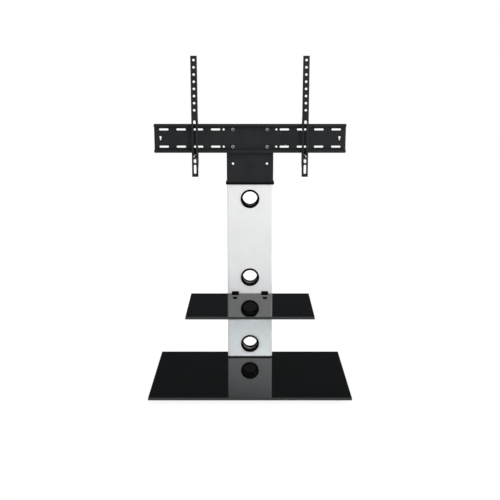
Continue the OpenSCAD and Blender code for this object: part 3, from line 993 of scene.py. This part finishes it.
@dataclass(frozen=True)
class Arm(Assembly):
    """One slotted arm with its lock.

    centre is how far the arm stands from the middle at rest. The lock screw's head hangs under
    seat_z. The lock plate's underside is at plate_z and runs along plate_y, and its welds to
    the arm's flanges lie flange_x to both sides of the arm's centre.
    """

    side: Side
    centre: float = 200 * MM
    lock_y: float = 154.2 * MM
    seat_z: float = 804.65 * MM
    plate_z: float = 819.45 * MM
    plate_y: Pair = (134 * MM, 160.5 * MM)
    flange_x: float = 9.5 * MM
    screw: HexScrew = HexScrew(length=25 * MM, thread_from=2.2 * MM)
    weld_crease: float = 60.0

    @property
    def x(self) -> float:
        """The arm's place along X at rest."""
        return self.side.value * self.centre

    def node(self, word: str) -> str:
        """The name of one of this arm's nodes."""
        return f"{self.side.word}_{word}"

    def body(self, word: str) -> Body:
        """One of this arm's bodies."""
        return Body(self.node(word))

    def dress(self) -> None:
        """Finishes the arm's nodes."""
        coat(Paint.BLACK, self.node("arm"), self.node("lock_plate"))
        coat(Paint.DARK_ZINC, self.node("lock_nut"), self.node("lock_washer"))

    def build(self) -> None:
        """Builds the threaded lock screw, which points up, and the plate's two weld beads."""
        screw = self.screw.shell().put((self.x, self.lock_y, self.seat_z))
        piece = screw.piece(self.node("lock_screw_threaded"), Paint.DARK_ZINC, Slot.ZINC,
                            self.body("screw"))
        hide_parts(self.node("lock_screw"))
        beads = [WeldBead(*((self.x + flange.value * self.flange_x, y, self.plate_z)
                            for y in self.plate_y)).shell() for flange in Side]
        Shell.merged(beads).piece(self.node("plate_welds"), Paint.BLACK, Slot.BLACK,
                                  self.body("arm"), self.weld_crease)


# The studio


@dataclass(frozen=True)
class Lamp:
    """A soft rectangular lamp.

    It stands at place and looks at target, size is its width and height and power is in watts.
    mirrored says if polished faces show it, colour is linear, and spread is the angle in
    degrees that its grid lets through.
    """

    name: str
    place: Triple
    target: Triple
    size: Pair
    power: float
    mirrored: bool = False
    colour: Triple = (1.0, 1.0, 1.0)
    spread: float = 180.0

    def build(self) -> None:
        """Puts the lamp in the scene."""
        data = bpy.data.lights.new(self.name, "AREA")
        data.shape = "RECTANGLE"
        data.size, data.size_y = self.size
        data.energy = self.power
        data.color = self.colour
        data.spread = math.radians(self.spread)
        lamp = placed(self.name, data)
        lamp.location = self.place
        way = Vector(self.target) - Vector(self.place)
        lamp.rotation_euler = way.to_track_quat("-Z", "Y").to_euler()
        lamp.visible_glossy = self.mirrored


@dataclass(frozen=True)
class Studio:
    """Camera, lamps, pale floor, white background and a dark card that only reflections see.

    Of the lamps, low is aimed at the foot of the column and middle at the zone right above the
    shelf, which gets less light from the floor. The others light the whole stand. The floor
    reaches floor_reach each way and is lifted towards white from lift[0] to lift[1] between the
    two distances of lift_over. The card's lower edge fades in up to card_full.
    """

    camera_place: Triple = (0.0, -2.74586, 1.13868)
    camera_tilt: float = 76.78
    camera_sees: Pair = (0.05, 60.0)
    lens: float = 56.9
    sensor: float = 36.0
    sky: float = 0.3
    sky_colour: Colour = (0.84, 0.93, 1.0, 1.0)
    lamps: tuple[Lamp, ...] = (
        Lamp("front", place=(1.0, -4.5, 2.0), target=(0.0, 0.1, 0.6), size=(2.6, 2.0),
             power=94.0, colour=(1.0, 0.965, 0.935)),
        Lamp("low", place=(0.5, -3.4, 0.45), target=(0.0, 0.06, -0.04), size=(0.3, 0.2),
             power=0.27, colour=(0.78, 0.94, 1.0), spread=10.0),
        Lamp("middle", place=(0.5, -3.4, 0.9), target=(0.0, 0.16, 0.315), size=(0.12, 0.06),
             power=0.031, colour=(0.74, 0.96, 1.0), spread=5.0),
        Lamp("key", place=(1.4, -2.4, 3.2), target=(0.0, 0.0, 0.6), size=(1.4, 1.4),
             power=34.0, mirrored=True),
        Lamp("right", place=(3.0, -0.5, 1.1), target=(0.0, 0.15, 0.6), size=(0.4, 2.0),
             power=48.0),
        Lamp("left", place=(-3.0, -0.3, 1.1), target=(0.0, 0.15, 0.6), size=(0.4, 2.0),
             power=24.0),
        Lamp("rear", place=(-1.2, 4.0, 2.2), target=(0.0, 0.0, 0.6), size=(1.8, 1.8),
             power=70.0))
    floor_reach: float = 14.0
    floor_colour: float = 0.8
    floor_seen: float = 0.2
    floor_rough: float = 0.9
    lift: Pair = (0.88, 0.955)
    lift_over: Pair = (1.0, 4.0)
    card_radius: float = 3.2
    card_height: Pair = (0.72, 4.2)
    card_full: float = 1.02
    card_level: float = 0.045
    card_warmth: float = -0.06
    card_grid: tuple[int, int] = (8, 96)

    def build(self) -> None:
        """Builds the whole studio."""
        self.camera()
        self.world()
        self.floor()
        self.card()
        for lamp in self.lamps:
            lamp.build()
        bpy.context.scene.view_settings.view_transform = "Standard"
        REPORT.info("studio with %d lamps", len(self.lamps))

    def camera(self) -> None:
        """Sets the camera at the photograph's viewing angle."""
        data = bpy.data.cameras.new("camera")
        data.lens, data.sensor_width = self.lens, self.sensor
        data.clip_start, data.clip_end = self.camera_sees
        camera = placed("camera", data)
        camera.location = self.camera_place
        camera.rotation_euler = (math.radians(self.camera_tilt), 0.0, 0.0)
        bpy.context.scene.camera = camera

    def world(self) -> None:
        """White where it is seen or mirrored, and a soft sky for everything else."""
        world = bpy.data.worlds.new("studio")
        bpy.context.scene.world = world
        work = NodeWork(world)
        sky = work.add("Background", Strength=self.sky, Color=self.sky_colour)
        white = work.add("Background", Color=PURE_WHITE)
        work.end_in_mix(work.shown_share(), sky, white)

    def floor(self) -> None:
        """A large pale floor, which is lifted to white where it is seen.

        The lift grows with the distance from the object, so that the shadow stays and the far
        floor meets the white background.
        """
        paint = Recipe("pale_floor")
        share = paint.shown_share()
        colour = paint.add("Mix", data_type="RGBA", A=grey(self.floor_colour),
                           B=grey(self.floor_seen))
        paint.join(share, colour.inputs["Factor"])
        paint.join(colour.outputs["Result"], paint.shader.inputs["Base Color"])
        paint.plain(Roughness=self.floor_rough, Specular_IOR_Level=0.0, Emission_Color=PURE_WHITE)
        away = paint.add("VectorMath", operation="LENGTH")
        paint.join(paint.place, away.inputs[0])
        lift = paint.ranged(away.outputs["Value"], *self.lift, *self.lift_over)
        paint.join(paint.worked("MULTIPLY", share, lift), paint.shader.inputs["Emission Strength"])
        corners = np.array([(-1, -1, 0), (1, -1, 0), (1, 1, 0), (-1, 1, 0)]) * self.floor_reach
        flat = Shell(corners, np.array([(0, 1, 2, 3)]))
        floor = placed("floor", flat.mesh("floor", paint.material))

    def card(self) -> None:
        """A round dark card with a soft lower edge, seen by glossy rays alone.

        Its points lie on a cylinder round the object: the height runs along the grid's rows
        and the angle along its columns.
        """
        paint = Recipe("dark_card")
        soft = paint.ranged(paint.upward(paint.place), 0.0, 1.0, self.card_height[0],
                            self.card_full, easing="SMOOTHSTEP")
        dark = paint.add("Emission", Color=grey(self.card_level, self.card_warmth))
        paint.end_in_mix(soft, paint.add("BsdfTransparent"), dark)
        rows, columns = self.card_grid
        height = np.linspace(*self.card_height, rows)[:, None]
        ring = Shell.around(revolved(self.card_radius, height, turns(columns)))
        card = placed("dark_card", ring.mesh("dark_card", paint.material))
        card.visible_camera = card.visible_diffuse = False
        card.visible_shadow = card.visible_transmission = False
        card.visible_volume_scatter = False


def main() -> None:
    """Builds the studio and dresses the stand, from the floor up."""
    logging.basicConfig(level=logging.INFO, format="%(message)s")
    Studio().build()
    for assembly in (Base(), Column(), Shelf(), Neck(), Rail(), Arm(Side.LEFT), Arm(Side.RIGHT)):
        assembly.dress()
        assembly.build()


if __name__ == "__main__":
    main()
